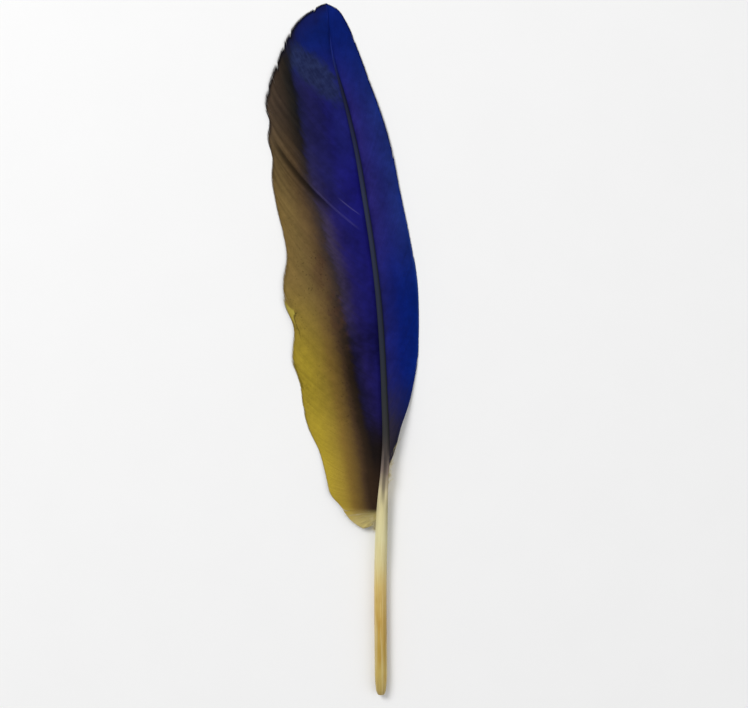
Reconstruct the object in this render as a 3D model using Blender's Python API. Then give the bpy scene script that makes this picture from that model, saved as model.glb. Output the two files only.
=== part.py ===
"""One loose wing feather of a blue-and-yellow macaw, lying flat with its blue upper side up.

It is a single grown piece. A round quill runs into a shaft that is grooved below and arches a little
off the surface. A broad inner vane stands to its left and a narrow outer vane to its right. Both are
parted into locks of barbs that sweep towards the tip, droop to the surface at their rim and end in a
toothed edge, and the lowest barbs of the inner vane hang back as a short fringe.

Lengths are in metres. X runs across the feather, Y along it from the quill's end to the tip, Z up.
The tables below measure Y from the quill's end, X from the quill's axis and Z from the surface.
"""

import math
import random

import bmesh
import bpy
import numpy as np

# The feather's length, and where the middle of its box lies.
LENGTH = 0.2804
MIDDLE_ACROSS = -0.01589
MIDDLE_ALONG = LENGTH / 2

# The shaft. Each row gives a distance from the quill's end, then the value there.
SHAFT_END = 0.2640
SHAFT_ACROSS = (
    (0.000, 0.0000), (0.060, 0.0000), (0.080, 0.0007), (0.093, 0.0016), (0.100, 0.0019),
    (0.120, 0.0014), (0.140, 0.0005), (0.160, -0.0010), (0.180, -0.0034), (0.200, -0.0065),
    (0.220, -0.0099), (0.240, -0.0145), (0.258, -0.0194), (LENGTH, -0.0223),
)
SHAFT_HALF_WIDTH = (
    (0.0000, 0.00120), (0.0012, 0.00175), (0.0035, 0.00215), (0.0080, 0.00250), (0.0620, 0.00250),
    (0.0747, 0.00225), (0.0810, 0.00198), (0.0870, 0.00175), (0.0930, 0.00162), (0.1030, 0.00142),
    (0.1200, 0.00124), (0.1450, 0.00115), (0.1800, 0.00103), (0.2170, 0.00094), (0.2330, 0.00080),
    (0.2450, 0.00064), (0.2570, 0.00046), (SHAFT_END, 0.00036),
)
QUILL_RADIUS = 0.0025
QUILL_STATIONS = (0.0, 0.0012, 0.0035, 0.0080, 0.0450, 0.0540, 0.0625)
QUILL_BECOMES_SHAFT = (0.0560, 0.0900)

# Half of a section through the quill and through the shaft, from the top round to the underside, in
# half widths. The quill's underside is a flat strip, which the feather rests on.
QUILL_ANGLES = (90, 50, 12, -12, -42, -72)
SHAFT_SECTION = ((0.0, 0.30), (0.60, 0.25), (1.0, 0.08), (1.0, -0.28), (0.95, -0.90), (0.50, -1.75))
SHAFT_GROOVE = -1.42
FLAT_STRIP = math.sin(math.radians(QUILL_ANGLES[-1]))

# The height of the quill's axis, and further on of the vanes where they leave the shaft.
QUILL_HEIGHT = -FLAT_STRIP * QUILL_RADIUS
VANE_HEIGHT = (
    (0.000, QUILL_HEIGHT), (0.030, QUILL_HEIGHT), (0.045, QUILL_HEIGHT), (0.075, 0.0040),
    (0.090, 0.0054), (0.110, 0.0067), (0.150, 0.0076), (0.190, 0.0071), (0.230, 0.0051),
    (0.258, 0.0025), (SHAFT_END, 0.0020),
)

# The barbs that set each vane's outline and slant. Each row gives where a barb leaves the shaft, then
# how far across and along its tip lies.
INNER_BARBS = (
    (0.0705, -0.0030, 0.0688), (0.0718, -0.0073, 0.0674), (0.0733, -0.0122, 0.0706),
    (0.0755, -0.0164, 0.0763), (0.0783, -0.0207, 0.0812), (0.0815, -0.0223, 0.0877),
    (0.0865, -0.0252, 0.0986), (0.0915, -0.0296, 0.1079), (0.0975, -0.0319, 0.1173),
    (0.1030, -0.0331, 0.1262), (0.1085, -0.0362, 0.1350), (0.1165, -0.0357, 0.1497),
    (0.1215, -0.0392, 0.1579), (0.1290, -0.0399, 0.1680), (0.1370, -0.0385, 0.1769),
    (0.1535, -0.0426, 0.1980), (0.1650, -0.0446, 0.2094), (0.1745, -0.0444, 0.2187),
    (0.1815, -0.0463, 0.2260), (0.1883, -0.0455, 0.2329), (0.1935, -0.0471, 0.2378),
    (0.2060, -0.0452, 0.2496), (0.2170, -0.0418, 0.2585), (0.2310, -0.0369, 0.2694),
    (0.2410, -0.0329, 0.2743), (0.2520, -0.0278, 0.2778), (0.2590, -0.0248, 0.2796),
    (SHAFT_END, -0.0223, LENGTH),
)
OUTER_BARBS = (
    (0.0925, 0.0037, 0.0938), (0.0940, 0.0053, 0.0980), (0.0975, 0.0081, 0.1083),
    (0.1015, 0.0112, 0.1173), (0.1070, 0.0136, 0.1278), (0.1120, 0.0149, 0.1355),
    (0.1195, 0.0154, 0.1457), (0.1295, 0.0154, 0.1579), (0.1410, 0.0146, 0.1702),
    (0.1550, 0.0120, 0.1842), (0.1750, 0.0079, 0.2037), (0.1950, 0.0041, 0.2224),
    (0.2100, 0.0000, 0.2362), (0.2235, -0.0045, 0.2483), (0.2380, -0.0091, 0.2609),
    (0.2510, -0.0140, 0.2727), (0.2590, -0.0181, 0.2784), (SHAFT_END, -0.0223, LENGTH),
)

# The rim's height above the surface, by how far along the barb's tip lies.
INNER_RIM_HEIGHT = (
    (0.067, 0.0026), (0.085, 0.0012), (0.120, 0.0), (0.155, 0.0010), (0.190, 0.0003),
    (0.225, 0.0), (0.258, 0.0007), (LENGTH, 0.0),
)
OUTER_RIM_HEIGHT = (
    (0.093, 0.0045), (0.110, 0.0020), (0.145, 0.0), (0.195, 0.0004), (0.240, 0.0007), (LENGTH, 0.0),
)

# How far across and along a barb bends, as a share of its reach. At a half it is straight.
INNER_BOW = (0.67, 0.44)
OUTER_BOW = (0.57, 0.46)
STRAIGHT = 0.5
LAST_ROWS = 0.9

# How the vanes fall from the shaft to their rim. A higher power stays level for longer.
INNER_DROOP = 1.6
OUTER_DROOP = 1.35
INNER_WAVE = 0.0005
WAVE_LENGTH = 0.043

# Locks. The rows are packed more closely at the vanes' foot, where the rim turns fast.
ROWS = 116
ROWS_PER_LOCK = 4
OUTER_LOCK_SHIFT = 2
ROW_ROOTS = ((0.0, INNER_BARBS[0][0]), (0.12, 0.0800), (0.25, 0.1000), (1.0, SHAFT_END))
COLUMNS = (0.0, 0.09, 0.25, 0.42, 0.60, 0.78, 0.92, 1.0)
VANE_HALF_THICKNESS = 0.00027
THINNER_AT_RIM = 0.45
CROWN_ABOVE = 0.00020
CROWN_BELOW = 0.00010
CROWN_MEAN = 0.5
STAGGER = 0.00022
INNER_TOOTH = (0.0002, 0.0009)
OUTER_TOOTH = (0.0001, 0.0004)
SEED = 7

# The dimple in the quill's end.
DIMPLE_RIM = 0.00040
DIMPLE_DEPTH = 0.00080

# Colour, roughness and metallic value of each finish.
FINISHES = {
    "blue_barbs": ((0.012, 0.014, 0.14), 0.50, 0.0),
    "olive_barbs": ((0.28, 0.20, 0.03), 0.60, 0.0),
    "horn": ((0.55, 0.45, 0.22), 0.35, 0.0),
}


def clear_scene():
    """Removes whatever the scene holds."""
    for thing in list(bpy.data.objects):
        bpy.data.objects.remove(thing, do_unlink=True)


def make_material(name):
    """A plain material with the colour, roughness and metallic value of a finish."""
    colour, roughness, metallic = FINISHES[name]
    material = bpy.data.materials.new(name)
    material.use_nodes = True
    shader = material.node_tree.nodes["Principled BSDF"]
    shader.inputs["Base Color"].default_value = (*colour, 1.0)
    shader.inputs["Roughness"].default_value = roughness
    shader.inputs["Metallic"].default_value = metallic
    material.diffuse_color = (*colour, 1.0)
    return material


def smooth_curve(table):
    """Makes a smooth curve through a table's rows, read by the first column."""
    rows = np.array(table, float)
    places, values = rows[:, 0], rows[:, 1:]
    slopes = np.gradient(values, places, axis=0)

    def read(place):
        place = min(max(place, places[0]), places[-1])
        k = int(np.clip(np.searchsorted(places, place) - 1, 0, len(places) - 2))
        span = places[k + 1] - places[k]
        t = (place - places[k]) / span
        ease = t * t * (3 - 2 * t)
        lean = slopes[k] * (1 - t) - slopes[k + 1] * t
        return values[k] * (1 - ease) + values[k + 1] * ease + lean * span * t * (1 - t)

    return read


def smooth_step(low, high, value):
    """Rises smoothly from 0 at low to 1 at high."""
    t = min(max((value - low) / (high - low), 0.0), 1.0)
    return t * t * (3 - 2 * t)


shaft_across = smooth_curve(SHAFT_ACROSS)
shaft_half_width = smooth_curve(SHAFT_HALF_WIDTH)
vane_height = smooth_curve(VANE_HEIGHT)
row_root = smooth_curve(ROW_ROOTS)


def section_point(along, corner):
    """A corner of the shaft's right half, as multiples of the half width: across and up."""
    angle = math.radians(QUILL_ANGLES[corner])
    quill = np.array((math.cos(angle), math.sin(angle)))
    shaft = np.array(SHAFT_SECTION[corner])
    return quill + (shaft - quill) * smooth_step(*QUILL_BECOMES_SHAFT, along)


def shaft_ring(along):
    """The corners of a section through the quill or shaft, clockwise from the left top."""
    across = shaft_across(along)[0]
    height = vane_height(along)[0]
    half = min(shaft_half_width(along)[0], QUILL_RADIUS)
    right = [section_point(along, k) for k in range(len(QUILL_ANGLES))]
    groove = FLAT_STRIP + (SHAFT_GROOVE - FLAT_STRIP) * smooth_step(*QUILL_BECOMES_SHAFT, along)
    left = [(-x, z) for x, z in right]
    left_above, left_below = left[2:0:-1], left[:2:-1]
    outline = left_above + right + [(0.0, groove)] + left_below
    return [(across + half * x, along, height + half * z) for x, z in outline]


# Corners of a ring where the vanes are rooted, by their place in the list that shaft_ring gives.
LEFT_TOP, RIGHT_TOP, RIGHT_BELOW, LEFT_BELOW = 0, 4, 5, 11


class Vane:
    """One vane: where its barbs run, how it is crowned lock by lock and how it droops."""

    def __init__(self, side, barbs, rim_height, bow, droop, wave, tooth, lock_shift):
        self.side = side
        self.first_root = barbs[0][0]
        self.tip = smooth_curve(barbs)
        self.rim_height = smooth_curve(rim_height)
        self.bow = bow
        self.droop = droop
        self.wave = wave
        self.lock_shift = lock_shift
        dice = random.Random(SEED + side)
        locks = ROWS // ROWS_PER_LOCK + 2
        self.teeth = [dice.uniform(*tooth) for _ in range(locks)]
        self.stagger = [dice.uniform(-STAGGER, STAGGER) for _ in range(locks)]

    def lock_of(self, row):
        """The number of a row's lock, and how far across the lock the row lies, from 0 to 1."""
        lock, step = divmod(row + self.lock_shift, ROWS_PER_LOCK)
        return lock, step / ROWS_PER_LOCK

    def point(self, row, root, share):
        """A point halfway through the vane's thickness, a share of the way out along a barb."""
        lock, phase = self.lock_of(row)
        start = np.array((shaft_across(root)[0] + self.side * shaft_half_width(root)[0], root))
        end = self.tip(root)
        reach = end - start
        last = smooth_step(LAST_ROWS, 1.0, row / ROWS)
        bow = np.array(self.bow) * (1 - last) + STRAIGHT * last
        tooth = self.teeth[lock] if phase == 0 and row < ROWS else 0.0
        t = share * (1 - tooth / np.linalg.norm(reach))
        across, along = start + reach * (2 * t * (1 - t) * bow + t * t)
        root_height = vane_height(root)[0]
        height = root_height + (self.rim_height(end[1])[0] - root_height) * t**self.droop
        height += self.wave * math.sin(math.tau * along / WAVE_LENGTH) * math.sin(math.pi * t)
        height += self.stagger[lock] * t * t * (1 - t) * (1 - last)
        return across, along, height

    def row_points(self, row, root):
        """The upper and lower points of a row of the vane, from next to the shaft to the rim."""
        phase = self.lock_of(row)[1]
        crown = math.sin(math.pi * phase) - CROWN_MEAN
        upper, lower = [], []
        for share in COLUMNS[1:]:
            across, along, height = self.point(row, root, share)
            half = VANE_HALF_THICKNESS * (1 - THINNER_AT_RIM * share) if share < 1 else 0.0
            swell = crown * math.sin(math.pi * share) if share < 1 else 0.0
            upper.append((across, along, max(height + half + CROWN_ABOVE * swell, 0.0)))
            lower.append((across, along, max(height - half - CROWN_BELOW * swell, 0.0)))
        return upper, lower


INNER = Vane(
    side=-1, barbs=INNER_BARBS, rim_height=INNER_RIM_HEIGHT, bow=INNER_BOW, droop=INNER_DROOP,
    wave=INNER_WAVE, tooth=INNER_TOOTH, lock_shift=0,
)
OUTER = Vane(
    side=1, barbs=OUTER_BARBS, rim_height=OUTER_RIM_HEIGHT, bow=OUTER_BOW, droop=OUTER_DROOP,
    wave=0.0, tooth=OUTER_TOOTH, lock_shift=OUTER_LOCK_SHIFT,
)


def add_face(mesh, corners, finish):
    """Adds a face, without the corners that meet the one before them."""
    ring = [corner for k, corner in enumerate(corners) if corner is not corners[k - 1]]
    if len(ring) > 2:
        mesh.faces.new(ring).material_index = finish


def add_shaft(mesh, stations, inner_rows, outer_rows):
    """Adds the quill and shaft as a tube, open along each side where a vane is rooted."""
    rings = [[mesh.verts.new(point) for point in shaft_ring(along)] for along in stations[:-1]]
    across, height = shaft_across(SHAFT_END)[0], vane_height(SHAFT_END)[0]
    top = mesh.verts.new((across, SHAFT_END, height + VANE_HALF_THICKNESS))
    below = mesh.verts.new((across, SHAFT_END, height - VANE_HALF_THICKNESS))
    rings.append([top] * (RIGHT_TOP + 1) + [below] * (LEFT_BELOW - RIGHT_TOP))
    horn = list(FINISHES).index("horn")
    for k in range(len(stations) - 1):
        near, far = rings[k], rings[k + 1]
        for corner in range(len(near)):
            following = (corner + 1) % len(near)
            rooted_right = corner == RIGHT_TOP and k in outer_rows
            rooted_left = corner == LEFT_BELOW and k in inner_rows
            if not rooted_right and not rooted_left:
                add_face(mesh, [near[corner], near[following], far[following], far[corner]], horn)
    end = mesh.faces.new(rings[0])
    end.material_index = horn
    bmesh.ops.inset_individual(mesh, faces=[end], thickness=DIMPLE_RIM, depth=-DIMPLE_DEPTH)
    return rings


def add_vane(mesh, vane, rings, first, roots, tip_row):
    """Adds a vane as an upper and a lower skin that meet in a thin rim, and returns its last row."""
    above, below = (LEFT_TOP, LEFT_BELOW) if vane.side < 0 else (RIGHT_TOP, RIGHT_BELOW)
    blue, olive = (list(FINISHES).index(name) for name in ("blue_barbs", "olive_barbs"))
    skins = []
    for row, root in roots:
        ring = rings[first + row]
        if row == ROWS and tip_row:
            skins.append(tip_row)
            continue
        upper, lower = vane.row_points(row, root)
        upper_row = [ring[above]] + [mesh.verts.new(point) for point in upper]
        lower_row = [ring[below]] + [mesh.verts.new(point) for point in lower[:-1]] + [upper_row[-1]]
        skins.append((upper_row, lower_row))
    for near, far in zip(skins, skins[1:]):
        for skin, finish in ((0, blue), (1, olive)):
            for k in range(len(COLUMNS) - 1):
                corners = [near[skin][k], near[skin][k + 1], far[skin][k + 1], far[skin][k]]
                add_face(mesh, corners, finish)
    foot_above, foot_below = skins[0]
    for k in range(len(COLUMNS) - 1):
        add_face(mesh, [foot_above[k], foot_above[k + 1], foot_below[k + 1], foot_below[k]], olive)
    return skins[-1]


def make_feather():
    """Builds the feather as one closed body."""
    roots = [(row, row_root(row / ROWS)[0]) for row in range(ROWS + 1)]
    stations = list(QUILL_STATIONS) + [root for _, root in roots]
    first = len(QUILL_STATIONS)
    outer_roots = [(row, root) for row, root in roots if root >= OUTER.first_root]
    inner_rows = range(first, first + ROWS)
    outer_rows = range(first + outer_roots[0][0], first + ROWS)

    mesh = bmesh.new()
    rings = add_shaft(mesh, stations, inner_rows, outer_rows)
    tip_row = add_vane(mesh, INNER, rings, first, roots, None)
    add_vane(mesh, OUTER, rings, first, outer_roots, tip_row)
    bmesh.ops.translate(mesh, verts=mesh.verts, vec=(-MIDDLE_ACROSS, -MIDDLE_ALONG, 0.0))
    bmesh.ops.recalc_face_normals(mesh, faces=mesh.faces)

    data = bpy.data.meshes.new("feather")
    mesh.to_mesh(data)
    mesh.free()
    for name in FINISHES:
        data.materials.append(make_material(name))
    data.shade_smooth()
    data.set_sharp_from_angle(angle=math.radians(40))
    feather = bpy.data.objects.new("feather", data)
    bpy.context.scene.collection.objects.link(feather)
    return feather


clear_scene()
make_feather()
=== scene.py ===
"""Looks of the macaw feather: every barb of its two vanes, the horny shaft and the down at the foot.

Places along the feather are measured from the quill's end, places across it from the quill's axis
and heights from the surface that the feather lies on. All are in millimetres, and the finished points,
the reliefs and the camera's place are turned into metres. The floor and lights are given in metres.
"""

import math

import bpy
import numpy as np
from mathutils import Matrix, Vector


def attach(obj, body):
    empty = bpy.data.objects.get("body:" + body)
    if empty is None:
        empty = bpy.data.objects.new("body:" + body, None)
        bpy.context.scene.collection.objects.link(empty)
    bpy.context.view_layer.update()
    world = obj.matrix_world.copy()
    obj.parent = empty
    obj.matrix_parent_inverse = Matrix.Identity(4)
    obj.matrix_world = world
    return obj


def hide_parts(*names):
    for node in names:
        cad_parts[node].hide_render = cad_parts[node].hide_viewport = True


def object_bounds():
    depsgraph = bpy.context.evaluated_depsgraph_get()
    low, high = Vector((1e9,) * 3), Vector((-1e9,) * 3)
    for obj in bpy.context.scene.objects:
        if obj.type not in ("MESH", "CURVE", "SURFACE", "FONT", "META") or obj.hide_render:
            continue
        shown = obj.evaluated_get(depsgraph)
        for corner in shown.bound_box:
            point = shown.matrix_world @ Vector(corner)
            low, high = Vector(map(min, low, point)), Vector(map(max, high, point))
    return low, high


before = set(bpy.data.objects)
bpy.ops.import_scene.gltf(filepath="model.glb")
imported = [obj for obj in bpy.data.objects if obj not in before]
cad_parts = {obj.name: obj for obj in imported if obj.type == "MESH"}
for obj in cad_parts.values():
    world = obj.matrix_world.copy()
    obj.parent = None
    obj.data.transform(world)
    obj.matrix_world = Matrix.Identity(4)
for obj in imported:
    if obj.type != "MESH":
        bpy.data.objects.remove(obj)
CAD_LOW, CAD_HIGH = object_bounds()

# A millimetre in metres.
MM = 0.001

# The feather's own measures, and where the middle of its box lies.
LENGTH = 280.4
MIDDLE_ACROSS = -15.89
MIDDLE_ALONG = LENGTH / 2

# Where the last barbs leave the shaft, and where its own tip lies.
SHAFT_END = 264.0
SHAFT_TIP = 279.5
# The shaft. Each row gives a distance from the quill's end, then the value there.
SHAFT_ACROSS = (
    (0, 0.0), (60, 0.0), (80, 0.7), (93, 1.6), (100, 1.9), (120, 1.4), (140, 0.5), (160, -1.0),
    (180, -3.4), (200, -6.5), (220, -9.9), (240, -14.5), (258, -19.4), (LENGTH, -22.3),
)
SHAFT_HALF_WIDTH = (
    (0.0, 1.20), (1.2, 1.75), (3.5, 2.15), (8.0, 2.50), (62.0, 2.50), (74.7, 2.25), (81.0, 1.98),
    (87.0, 1.75), (93.0, 1.62), (103.0, 1.42), (120.0, 1.24), (145.0, 1.15), (180.0, 1.03),
    (217.0, 0.94), (233.0, 0.80), (245.0, 0.64), (257.0, 0.46), (SHAFT_END, 0.36), (270.0, 0.22),
    (SHAFT_TIP, 0.04),
)
QUILL_RADIUS = 2.5
QUILL_BECOMES_SHAFT = (56, 90)
# Corners of the right half of a section, from the top down: angles on the round quill, and places on
# the shaft in half widths. The quill rests on a flat strip, and the shaft has a groove there.
QUILL_ANGLES = (90, 50, 12, -12, -42, -72)
SHAFT_SECTION = ((0.0, 0.30), (0.60, 0.25), (1.0, 0.08), (1.0, -0.28), (0.95, -0.90), (0.50, -1.75))
SHAFT_GROOVE = -1.42
FLAT_STRIP = math.sin(math.radians(QUILL_ANGLES[-1]))
QUILL_HEIGHT = -FLAT_STRIP * QUILL_RADIUS
# How high the barbs' roots lie, by distance from the quill's end.
VANE_HEIGHT = (
    (0, QUILL_HEIGHT), (30, QUILL_HEIGHT), (45, QUILL_HEIGHT), (75, 4.0), (90, 5.4), (110, 6.7),
    (150, 7.6), (190, 7.1), (230, 5.1), (258, 2.5), (SHAFT_END, 2.0), (270, 1.4),
)

# The barbs that set each vane's outline and slant: where a barb leaves the shaft, then how far across
# and along its tip lies.
INNER_BARBS = (
    (70.5, -3.0, 68.8), (71.8, -7.3, 67.4), (73.3, -12.2, 70.6), (75.5, -16.4, 76.3),
    (78.3, -20.7, 81.2), (81.5, -22.3, 87.7), (86.5, -25.2, 98.6), (91.5, -29.6, 107.9),
    (97.5, -31.9, 117.3), (103.0, -33.1, 126.2), (108.5, -36.2, 135.0), (116.5, -35.7, 149.7),
    (121.5, -39.2, 157.9), (129.0, -39.9, 168.0), (137.0, -38.5, 176.9), (153.5, -42.6, 198.0),
    (165.0, -44.6, 209.4), (174.5, -44.4, 218.7), (181.5, -46.3, 226.0), (188.3, -45.5, 232.9),
    (193.5, -47.1, 237.8), (206.0, -45.2, 249.6), (217.0, -41.8, 258.5), (231.0, -36.9, 269.4),
    (241.0, -32.9, 274.3), (252.0, -27.8, 277.8), (259.0, -24.8, 279.6), (SHAFT_END, -22.3, LENGTH),
)
OUTER_BARBS = (
    (92.5, 3.7, 93.8), (94.0, 5.3, 98.0), (97.5, 8.1, 108.3), (101.5, 11.2, 117.3),
    (107.0, 13.6, 127.8), (112.0, 14.9, 135.5), (119.5, 15.4, 145.7), (129.5, 15.4, 157.9),
    (141.0, 14.6, 170.2), (155.0, 12.0, 184.2), (175.0, 7.9, 203.7), (195.0, 4.1, 222.4),
    (210.0, 0.0, 236.2), (223.5, -4.5, 248.3), (238.0, -9.1, 260.9), (251.0, -14.0, 272.7),
    (259.0, -18.1, 278.4), (SHAFT_END, -22.3, LENGTH),
)
# How high the rims lie, by distance from the quill's end.
INNER_RIM_HEIGHT = (
    (67, 2.6), (85, 1.2), (120, 0.0), (155, 1.0), (190, 0.3), (225, 0.0), (258, 0.7), (LENGTH, 0.0),
)
OUTER_RIM_HEIGHT = ((93, 4.5), (110, 2.0), (145, 0.0), (195, 0.4), (240, 0.7), (LENGTH, 0.0))
# A barb bends towards a point at these shares of its way across and along. The last barbs, from this
# share of the row on, straighten.
INNER_BOW = (0.67, 0.44)
OUTER_BOW = (0.57, 0.46)
STRAIGHT = 0.5
LAST_BARBS = 0.9
# A vane sinks towards its rim by these powers of the share of the way out. Waves cross the inner one.
INNER_DROOP = 1.6
OUTER_DROOP = 1.35
WAVE_HEIGHT = 0.5
WAVE_LENGTH = 43.0

# How the barbs are spread along the shaft, by their share of the whole row.
BARB_ROOTS = ((0.0, INNER_BARBS[0][0]), (0.12, 80.0), (0.25, 100.0), (1.0, SHAFT_END))
# How many barbs a vane has.
INNER_COUNT = 440
OUTER_COUNT = 390
# How many sections a barb has. They crowd towards its end by this power.
INNER_STATIONS = 31
OUTER_STATIONS = 21
STATION_CROWDING = 1.25
# Barbs start inside the shaft, at this share of its half width.
ROOT_SINK = 0.80
# In barb spacings: how far a barb's end sweeps along the rim, and how far a barb wanders on its way.
TIP_SWEEP = 3.2
WANDER = 0.12
# By up to what share a barb is shorter than its vane.
TIP_SPREAD = 0.008

# A barb's section: a low ridge on a flat web. Shares of the half width across, then heights.
WEB = (-1.0, -0.17, 0.0, 0.17, 1.0, 0.0)
WEB_HEIGHT = (0.025, 0.020, 0.075, 0.010, -0.025, -0.12)
# The corners at its sharp edges, and the sides after each corner, with 1 for those of its underside.
WEB_EDGES = (0, 4)
UNDERSIDE_FACES = (0, 0, 0, 0, 1, 1)
# A web's width in barb spacings, and the least half width that it has before its end narrows.
WEB_OVERLAP = 1.45
WEB_NARROWEST = 0.06

# Seams between locks: where one leaves the shaft, the share of the way out at which it opens, how far
# it gapes, how far its upper side rises, and how far along the shaft that fades.
INNER_SEAMS = (
    (185.2, 0.10, 0.10, 0.42, 4.0), (192.1, 0.02, 0.03, 0.12, 2.0), (196.5, 0.62, 0.12, 0.30, 2.2),
    (176.0, 0.45, 0.05, 0.26, 2.8), (207.0, 0.72, 0.15, 0.18, 1.8), (224.0, 0.80, 0.18, 0.12, 1.4),
    (166.5, 0.70, 0.06, 0.14, 2.2), (151.0, 0.55, 0.04, 0.12, 2.4), (136.8, 0.78, 0.08, 0.12, 1.8),
    (124.6, 0.80, 0.18, 0.40, 1.6), (116.6, 0.84, 0.10, 0.12, 1.4), (105.8, 0.82, 0.16, 0.26, 1.4),
    (96.2, 0.60, 0.06, 0.10, 1.8), (86.8, 0.70, 0.08, 0.10, 1.2), (79.2, 0.55, 0.07, 0.10, 0.8),
    (74.8, 0.45, 0.08, 0.12, 0.6), (238.5, 0.70, 0.10, 0.10, 1.6),
)
OUTER_SEAMS = (
    (110.5, 0.45, 0.08, 0.12, 2.0), (127.5, 0.55, 0.06, 0.10, 2.0), (148.0, 0.50, 0.05, 0.10, 2.5),
    (169.0, 0.62, 0.07, 0.10, 2.2), (190.5, 0.55, 0.05, 0.10, 2.2), (213.0, 0.66, 0.08, 0.10, 1.8),
    (232.5, 0.60, 0.06, 0.08, 1.6),
)
# Barbs that end short at the rim: where they leave the shaft, and by what share they are shorter.
INNER_NICKS = (
    (252.4, 0.030), (229.0, 0.024), (221.7, 0.020), (212.8, 0.026), (200.6, 0.016), (192.5, 0.020),
    (123.6, 0.014), (105.0, 0.016), (95.8, 0.010), (145.5, 0.008),
)
OUTER_NICKS = ((111.0, 0.020), (148.0, 0.014), (190.5, 0.018), (224.0, 0.016), (242.0, 0.020))
NICK_WIDTH = 0.9
# How high the ripples across a vane stand, by where the barbs leave the shaft.
INNER_RIPPLE = (
    (70, 0.08), (110, 0.10), (150, 0.14), (172, 0.30), (200, 0.28), (220, 0.12), (SHAFT_END, 0.04),
)
OUTER_RIPPLE = ((92, 0.06), (150, 0.08), (SHAFT_END, 0.04))

# Where the blue of the inner vane ends: a distance from the quill's end, then how far across.
BLUE_BORDER = (
    (72, 0.8), (85, -1.8), (95, -2.7), (107, -4.9), (119, -7.4), (136, -10.7), (152, -13.8),
    (168, -17.1), (184, -21.3), (200, -25.8), (217, -29.4), (233, -32.1), (249, -34.6), (257, -35.8),
    (263, -35.5), (269, -34.4), (275, -32.2),
)

# The camera looks straight down, and these place the photograph's frame on the surface.
FRAME_WIDTH_PX = 748
FRAME_HEIGHT_PX = 708
MM_PER_PX = 0.4058
QUILL_AXIS_PX = 381
QUILL_END_PX = 694
CAMERA_HEIGHT = 900.0
SENSOR = 36.0

# Smooth noise repeats after this many knots, and is read from this one on.
NOISE_KNOTS = 4096
NOISE_START = 512


def ease(t):
    """0 to 1 with a level start and end."""
    return t * t * (3 - 2 * t)


def smooth_step(low, high, value):
    """Rises smoothly from 0 at low to 1 at high."""
    return ease(np.clip((value - low) / (high - low), 0.0, 1.0))


def smooth_way(t, here, after, slope_here, slope_after):
    """From one value to the next as t goes from 0 to 1, with the slopes wanted at both."""
    lean = slope_here * (1 - t) - slope_after * t
    return here * (1 - ease(t)) + after * ease(t) + lean * t * (1 - t)


def smooth_curve(table):
    """Makes a smooth curve through a table's rows, read by the first column. It takes arrays."""
    rows = np.array(table, float)
    places, values = rows[:, 0], rows[:, 1:]
    slopes = np.gradient(values, places, axis=0)

    def read(place):
        place = np.clip(place, places[0], places[-1])
        k = np.clip(np.searchsorted(places, place) - 1, 0, len(places) - 2)
        span = (places[k + 1] - places[k])[..., None]
        t = (place - places[k])[..., None] / span
        found = smooth_way(t, values[k], values[k + 1], slopes[k] * span, slopes[k + 1] * span)
        return found[..., 0] if found.shape[-1] == 1 else found

    return read


shaft_across = smooth_curve(SHAFT_ACROSS)
shaft_half_width = smooth_curve(SHAFT_HALF_WIDTH)
vane_height = smooth_curve(VANE_HEIGHT)
barb_root = smooth_curve(BARB_ROOTS)
blue_border = smooth_curve(BLUE_BORDER)


def unit(vectors):
    """The same directions with length 1."""
    return vectors / np.maximum(np.linalg.norm(vectors, axis=-1, keepdims=True), 1e-12)


def smooth_noise(places, pitch, seed):
    """Random values from -1 to 1 that change smoothly with place, about once every pitch."""
    knots = np.random.default_rng(seed).uniform(-1, 1, NOISE_KNOTS)
    at = places / pitch + NOISE_START
    k = np.floor(at).astype(int)
    share = ease(at - k)
    return knots[k % NOISE_KNOTS] * (1 - share) + knots[(k + 1) % NOISE_KNOTS] * share


def in_frame(points):
    """Points in metres from the frame's origin, kept in its box."""
    return np.clip((points - (MIDDLE_ACROSS, MIDDLE_ALONG, 0.0)) * MM, CAD_LOW, CAD_HIGH)


# Meshes

# What stays free at both ends of a map for a bake, and on both sides of each strand's strip of it.
MAP_MARGIN = 0.01
STRIP_MARGIN = 0.02


def inset(share, margin):
    """A share from 0 to 1 that leaves a margin free at both ends."""
    return margin + (1 - 2 * margin) * share


def unrolled(places):
    """Where each side starts and ends on a map, from places for the corners with the first one again."""
    return np.stack((places[:, :, :-1], places[:, :, 1:]), axis=-2)


def strand_mesh(name, points, bake_map, marks, under=None, sharp=()):
    """One mesh of closed strands.

    points holds the corners, by strand, station and place round the section. bake_map gives for each
    the two places on a square map where the side after it starts and ends. marks are named values of
    the points, under is 1 for each side of the underside, and sharp names the corners of sharp edges.
    """
    strands, stations, corners = points.shape[:3]
    index = np.arange(strands * stations * corners).reshape(strands, stations, corners)
    following = np.roll(index, -1, axis=2)
    sides = np.stack((index[:, :-1], following[:, :-1], following[:, 1:], index[:, 1:]), axis=-1)
    faces = sides.reshape(-1, 4).tolist() + index[:, 0, ::-1].tolist() + index[:, -1].tolist()
    mesh = bpy.data.meshes.new(name)
    mesh.from_pydata(in_frame(points).reshape(-1, 3), [], faces)
    lay_out(mesh, bake_map)
    for mark, values in marks.items():
        values = np.broadcast_to(values, index.shape)
        mesh.attributes.new(mark, "FLOAT", "POINT").data.foreach_set("value", values.ravel())
    if under is not None:
        values = np.broadcast_to(under, sides.shape[:3]).ravel()
        values = np.concatenate((values, np.zeros(2 * strands)))
        mesh.attributes.new("under", "FLOAT", "FACE").data.foreach_set("value", values)
    mesh.shade_smooth()
    if sharp:
        sharpen(mesh, corners, sharp)
    mesh.update()
    return mesh


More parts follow.
